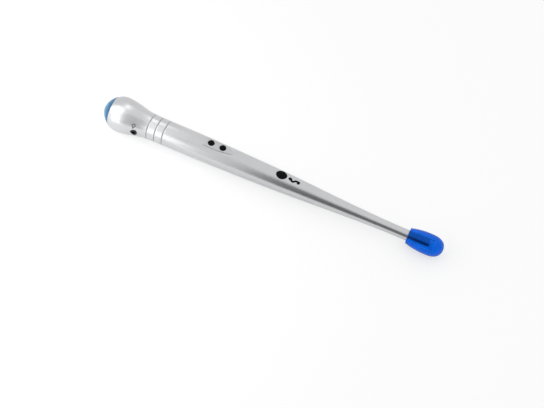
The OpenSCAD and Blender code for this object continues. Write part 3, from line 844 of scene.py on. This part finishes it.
def cap_dome():
    """The end cap: the bulb's superellipse over its last stretch, pierced by six sound holes."""
    edge_r = float(radius_at(CAP_EDGE_X))
    skirt_r = float(inner_at(CAP_EDGE_X + 0.1)) - 0.1
    skirt_x = CAP_EDGE_X + 0.02
    span = np.linspace(SOUND_HOLE_AT - SOUND_HOLE_WINDOW, SOUND_HOLE_AT + SOUND_HOLE_WINDOW, 9)
    rows = lines(0, edge_r, 0.9, span, edge_r - SEAM_STEPS)
    turns = np.linspace(0, 2 * np.pi, CAP_AROUND + 1)
    rho, turn = np.meshgrid(rows, turns, indexing="ij")
    window = [int(np.argmin(np.abs(rows - span[k]))) for k in (0, -1)]
    pitch = CAP_AROUND // SOUND_HOLES
    holes = []
    for middle in range(pitch // 2, CAP_AROUND, pitch):
        centre = cap_face(SOUND_HOLE_AT, turns[middle])
        holes.append(((*window, middle - 4, middle + 4), centre, SOUND_HOLE_R, 1.0))
    rho, turn, faces = pierce(rho, turn, holes, cap_face, cap_face_back)
    turn = np.where(turn > 2 * np.pi - 1e-6, 0, turn)
    depth = BULB_X - (BULB_X - BUTT_X) * (1 - (rho / BULB_R) ** BULB_POWER) ** (1 / BULB_POWER)
    a, b = cap_face(rho, turn)
    to_hole = np.min([np.hypot(a - c[0], b - c[1]) for _, c, *_ in holes], axis=0) - SOUND_HOLE_R
    drop = edge_drop(to_hole, HOLE_ROUND)
    outside = round_axis(depth + drop, turn, rho - edge_drop(edge_r - rho, 0.3) * 0.5)
    shrink = (skirt_r - SKIRT_T) / edge_r
    deep = (CAP_EDGE_X - BUTT_X - CAP_T) / (CAP_EDGE_X - BUTT_X)
    inside = round_axis(CAP_EDGE_X - (CAP_EDGE_X - depth) * deep, turn, rho * shrink)
    skirt = [[skirt_x, skirt_r - SKIRT_T], [skirt_x, skirt_r], [SKIRT_END_X, skirt_r]]
    skirt += [[SKIRT_END_X, skirt_r - SKIRT_T]]
    return joined(walled(outside, inside, faces), turned(skirt, CAP_AROUND, ring=True))


def tip_bulb():
    """The tip lens: a flank and a nose of two superellipses, with a blind cavity for plug and lamp."""
    flank_x = np.linspace(LENS_X + LENS_CORNER, LENS_WIDE_X, 26)[:-1]
    flank_u = 1 - (flank_x - LENS_X) / (LENS_WIDE_X - LENS_X)
    flank = LENS_SHOULDER_R + (LENS_R - LENS_SHOULDER_R) * (1 - flank_u**FLANK_POWER)
    u = np.sin(np.linspace(0, np.pi / 2, 34))
    nose_x = LENS_WIDE_X + (TIP_X - LENS_WIDE_X) * u
    nose = LENS_R * (1 - u**NOSE_POWER) ** (1 / FLANK_POWER)
    turn = np.linspace(0, np.pi / 2, 7)[:-1]
    corner = LENS_CORNER / 2
    corner_x = LENS_X + LENS_CORNER * (1 - np.cos(turn))
    corner_rows = np.stack([corner_x, flank[0] - corner * (1 - np.sin(turn))], 1)
    cavity = rounded_rows([[CAVITY_X, 0], [CAVITY_X, CAVITY_R], [LENS_X, CAVITY_R]], 3.2, 10)
    outer = np.stack([np.concatenate([flank_x, nose_x]), np.concatenate([flank, nose])], 1)
    outer[-1, 1] = 0
    return turned(np.concatenate([cavity, corner_rows, outer]), 128)


def cavity_share(points):
    """1 on the lens's cavity, which is near the axis and behind the cavity's end, and 0 elsewhere."""
    x, y, z = points.T
    return (np.hypot(y, z) < CAVITY_R + 0.05) & (x < CAVITY_X + 0.01)


def push_button(name):
    """A crowned plunger: straight sides, then a crown that falls off as a superellipse."""
    r, stretch = BUTTON_R[name], BUTTON_STRETCH[name]
    bottom, top = ((end.z - cad_low.z) / MM - BULB_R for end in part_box(name))
    u = np.sin(np.linspace(0, np.pi / 2, 22))[::-1]
    rise = (1 - u**2.2) ** (1 / 2.6)
    edge = top - BUTTON_CROWN
    dome = np.stack([edge + BUTTON_CROWN * rise, r * u], 1)
    foot = rounded_rows([[bottom, 0], [bottom, r], [edge, r]], 0.2, 3)[:-1]
    return stood_up(turned(np.concatenate([foot, dome]), 72), BUTTON_X[name], BUTTON_Y[name], stretch)


def socket_ring():
    """The glossy black ring round the headphone socket, with a rolled lip."""
    face = float(radius_at(JACK_X)) + 0.25
    foot = face - 1.2
    bore_r, nose_r = JACK_BORE_R + 0.06, JACK_NOSE_R + 0.05
    rows = [[foot, bore_r], [face, bore_r], [face, nose_r], [foot, nose_r], [foot, bore_r]]
    return stood_out(turned(rounded_rows(rows, 0.42, 6)[:-1], 96, ring=True), JACK_X)


def printed(x, angle, half_width):
    """A stroke of ink on the upper shell, a flat oval along its path."""
    x, angle = np.asarray(x, float), np.radians(angle)
    half_width = np.asarray(half_width, float)
    radius = radius_at(x)
    path = round_axis(x, angle, radius)
    slope = (radius_at(x + 0.05) - radius_at(x - 0.05)) / 0.1
    lift = np.stack([-slope, -np.sin(angle), np.cos(angle)], 1)
    lift /= np.linalg.norm(lift, axis=1)[:, None]
    ahead = np.gradient(path, axis=0)
    side = np.cross(lift, ahead)
    side /= np.linalg.norm(side, axis=1)[:, None]
    return swept(path, side, lift, half_width, INK_RISE * np.minimum(1, half_width / 0.15), 12)


def curve_through(points, n):
    """A smooth line through given points: cubics with equal curvature at each of them."""
    points = np.asarray(points, float)
    t = np.arange(len(points), dtype=float)
    s = np.linspace(0, len(points) - 1, n)
    i = np.clip(s.astype(int), 0, len(points) - 2)
    slope = np.stack([spline_slopes(t, points[:, k]) for k in (0, 1)], 1)
    return cubic((s - i)[:, None], points[i], points[i + 1], slope[i], slope[i + 1])


def tapered(n, half_width, end=0.12):
    """Half widths along a stroke: an ellipse at both ends, constant between."""
    s = np.linspace(0, 1, n)
    return half_width * np.sqrt(1 - np.clip(1 - np.minimum(s, 1 - s) / end, 0, 1) ** 2)


def headphone_sign():
    """A small ring on a stem with a cross bar, beside the socket."""
    ring_x, ring_angle, ring_r = JACK_X - 0.7, 58, 1.35
    degree = math.degrees(1 / float(radius_at(ring_x)))
    turn = np.linspace(0, 2 * np.pi, 41) + np.pi / 2
    ring_angles = ring_angle + ring_r * degree * np.sin(turn)
    ring = printed(ring_x + ring_r * np.cos(turn), ring_angles, tapered(41, 0.3, 0.03))
    s = np.linspace(0, 1, 24)
    stem = printed(ring_x - 0.4 * s, ring_angle + degree * (ring_r + 2.1 * s), tapered(24, 0.36))
    bar = printed(ring_x - 1.1 + 1.9 * s, ring_angle + degree * (ring_r + 1.0 + 0 * s), tapered(24, 0.26))
    return joined(ring, stem, bar)


def beat_sign():
    """Two beats joined by a wave, in front of the front button."""
    s = np.linspace(-1, 1, 28)
    x = BUTTON_X["front_button"]
    rear = printed(x + 8.5 + 1.7 * s, -0.5 + 4.5 * s, 1.5 * np.sqrt(1 - s**2))
    front = printed(x + 16.3 + 1.5 * s, 2 + 0 * s, 1.65 * np.sqrt(1 - s**2))
    wave = [[9.2, 2], [10.5, 8.5], [11.8, 8.5], [13.1, 1.5], [14.3, -2.5], [15.9, 0.0]]
    wave = curve_through(wave, 60)
    return joined(rear, front, printed(x + wave[:, 0], wave[:, 1], tapered(60, 0.95)))


piece("top_shell", top_shell(), silver_paint, "stick", "silver_paint", "upper_shell")
piece("bulb_under", bulb_under(), silver_paint, "stick", "silver_paint", "bulb_underside")
piece("shaft_under", shaft_under(), silver_paint, "stick", "silver_paint", "shaft_underside")
piece("door_skin", door_skin(), silver_paint, "battery_door", "silver_paint", "battery_door")
piece("door_fittings", door_fittings(), silver_paint, "battery_door", "silver_paint")
piece("cap_dome", cap_dome(), cap_blue, "stick", "clear_blue", "end_cap")
lens = tip_bulb()
lens_piece = piece("tip_bulb", lens, clear_blue, "stick", "clear_blue", "tip_lens")
mark(lens_piece.data, "cavity", cavity_share(lens[0]))
piece("socket_ring", socket_ring(), black_plastic, "stick", "black_plastic")
piece("headphone_sign", headphone_sign(), print_ink, "stick", "silver_paint")
piece("beat_sign", beat_sign(), print_ink, "stick", "silver_paint")
for name in BUTTONS:
    piece(name + "_cap", push_button(name), black_rubber, name, "black_rubber", name)


# ---- floor, studio and camera, in metres ----

FLOOR_HALF = 2.5
FLOOR_CLEAR = 0.04 * MM  # under the bulb
FLOOR_PALE = 0.5  # the share of light that its paper gives back
FLOOR_GLOW = 0.63  # its own light, to the camera and through clear plastic
FLOOR_MIRRORED = 0.38  # its own light in reflections

SURROUND = 0.72
DIM_AIM = (0.05, -0.92, 0.38)
DIM_CONE = (18, 54)  # degrees from its middle at which it starts to fade, and ends
DIM_DEPTH = 0.62
BRIGHT_AIM = (-0.75, -0.55, 0.35)
BRIGHT_CONE = (15, 50)
BRIGHT_MORE = 0.3


def pale_floor():
    """A plane that both the bulb and the tip touch; it looks white and keeps the shadow."""
    rise = BULB_R - LENS_R
    tilt = math.asin(rise / (LENS_WIDE_X - BULB_X))
    middle = Vector((cad_low.x + (BULB_X - BUTT_X) * MM, 0, cad_low.z - FLOOR_CLEAR))
    mesh = bpy.data.meshes.new("floor")
    corners = [(FLOOR_HALF * a, FLOOR_HALF * b, 0) for a, b in ((-1, -1), (1, -1), (1, 1), (-1, 1))]
    turn = Matrix.Translation(middle) @ Matrix.Rotation(-tilt, 4, "Y")
    mesh.from_pydata([turn @ Vector(c) for c in corners], [], [(0, 1, 2, 3)])
    finish = bpy.data.materials.new("floor_paper")
    finish.use_nodes = True
    tree = finish.node_tree
    tree.nodes.clear()
    ray = wire(tree, "ShaderNodeLightPath", {}).outputs
    seen = {0: ray["Is Camera Ray"], 1: ray["Is Transmission Ray"]}
    seen = wire(tree, "ShaderNodeMath", seen, operation="MAXIMUM").outputs[0]
    mirrored = {0: ray["Is Glossy Ray"], 1: FLOOR_MIRRORED}
    mirrored = wire(tree, "ShaderNodeMath", mirrored, operation="MULTIPLY")
    glow = {0: seen, 1: FLOOR_GLOW, 2: mirrored.outputs[0]}
    glow = wire(tree, "ShaderNodeMath", glow, operation="MULTIPLY_ADD")
    paper = wire(tree, "ShaderNodeBsdfDiffuse", {"Color": (FLOOR_PALE, FLOOR_PALE, FLOOR_PALE, 1)})
    light = wire(tree, "ShaderNodeEmission", {"Color": (1, 1, 1, 1), "Strength": glow.outputs[0]})
    both = wire(tree, "ShaderNodeAddShader", {0: paper.outputs[0], 1: light.outputs[0]})
    wire(tree, "ShaderNodeOutputMaterial", {"Surface": both.outputs[0]})
    mesh.materials.append(finish)
    made = bpy.data.objects.new("floor", mesh)
    bpy.context.scene.collection.objects.link(made)


def lobe(tree, ray, direction, narrow, wide):
    """1 along a direction and 0 outside a cone, with a smooth edge; the angles are in degrees."""
    aim = Vector(direction).normalized()
    near = wire(tree, "ShaderNodeVectorMath", {0: ray, 1: aim}, operation="DOT_PRODUCT")
    span = {"Value": near.outputs["Value"], "From Min": math.cos(math.radians(wide))}
    span["From Max"] = math.cos(math.radians(narrow))
    return wire(tree, "ShaderNodeMapRange", span, interpolation_type="SMOOTHSTEP").outputs[0]


def studio():
    """Even studio light: a pale surround, a brighter side at the left front, a dim place by the camera."""
    world = bpy.data.worlds.new("studio")
    bpy.context.scene.world = world
    world.use_nodes = True
    tree = world.node_tree
    tree.nodes.clear()
    ray = wire(tree, "ShaderNodeTexCoord", {}).outputs["Generated"]
    dim = lobe(tree, ray, DIM_AIM, *DIM_CONE)
    bright = lobe(tree, ray, BRIGHT_AIM, *BRIGHT_CONE)
    dimmed = {0: dim, 1: -DIM_DEPTH, 2: SURROUND}
    dimmed = wire(tree, "ShaderNodeMath", dimmed, operation="MULTIPLY_ADD").outputs[0]
    level = {0: bright, 1: BRIGHT_MORE, 2: dimmed}
    level = wire(tree, "ShaderNodeMath", level, operation="MULTIPLY_ADD")
    light = wire(tree, "ShaderNodeBackground", {"Color": (1, 1, 1, 1), "Strength": level.outputs[0]})
    white = wire(tree, "ShaderNodeBackground", {"Color": (1, 1, 1, 1), "Strength": 1.0})
    seen = wire(tree, "ShaderNodeLightPath", {}).outputs["Is Camera Ray"]
    both = wire(tree, "ShaderNodeMixShader", {0: seen, 1: light.outputs[0], 2: white.outputs[0]})
    wire(tree, "ShaderNodeOutputWorld", {"Surface": both.outputs[0]})


def soft_lamp(name, place, aim, wide, tall, radiance, fade):
    """A pale card: a rectangle at a place, turned towards another, that fades out at its edges."""
    data = bpy.data.lights.new(name, "AREA")
    data.shape = "RECTANGLE"
    data.size = wide
    data.size_y = tall
    data.energy = radiance * math.pi * wide * tall
    data.use_nodes = True
    tree = data.node_tree
    across = wire(tree, "ShaderNodeNewGeometry", {}).outputs["Parametric"]
    across = wire(tree, "ShaderNodeSeparateXYZ", {0: across}).outputs
    shares = []
    for side, length in zip(across, (wide, tall)):
        inside = wire(tree, "ShaderNodeMath", {0: side, 1: 0.5}, operation="PINGPONG").outputs[0]
        span = {"Value": inside, "From Max": fade / length}
        shares.append(wire(tree, "ShaderNodeMapRange", span, interpolation_type="SMOOTHSTEP").outputs[0])
    share = wire(tree, "ShaderNodeMath", {0: shares[0], 1: shares[1]}, operation="MULTIPLY")
    tree.links.new(share.outputs[0], tree.nodes["Emission"].inputs["Strength"])
    made = bpy.data.objects.new(name, data)
    made.location = place
    made.rotation_euler = (Vector(aim) - Vector(place)).to_track_quat("-Z", "Y").to_euler()
    made.visible_camera = False
    bpy.context.scene.collection.objects.link(made)


def camera():
    """Looks down on the stick from its socket side, a little turned about its own line of sight."""
    place = Vector((0.14677, -0.50327, 0.73506))
    forward = Vector((-0.15241, 0.54724, -0.82298)).normalized()
    up = Vector((-0.38948, 0.73206, 0.55892))
    right = forward.cross(up).normalized()
    up = right.cross(forward)
    data = bpy.data.cameras.new("camera")
    data.sensor_width = 36.0
    data.lens = 66.84
    data.clip_start = 0.01
    made = bpy.data.objects.new("camera", data)
    turn = Matrix((right, up, -forward)).transposed().to_4x4()
    made.matrix_world = Matrix.Translation(place) @ turn
    bpy.context.scene.collection.objects.link(made)
    bpy.context.scene.camera = made


pale_floor()
studio()
soft_lamp("top_card", (-0.380, -0.150, 0.15), (-0.380, -0.150, 0), 0.48, 0.33, 1.25, 0.03)
soft_lamp("neck_card", (-0.150, 0.045, 0.15), (-0.150, 0.045, 0), 0.026, 0.12, 1.1, 0.008)
soft_lamp("grip_card", (-0.102, -0.23, 0.15), (-0.094, 0, 0.02), 0.12, 0.31, 0.45, 0.015)
soft_lamp("front_card", (-0.295, -0.30, 0.065), (-0.295, 0, 0.065), 0.26, 0.18, 1.7, 0.02)
camera()
bpy.context.scene.view_settings.view_transform = "Standard"
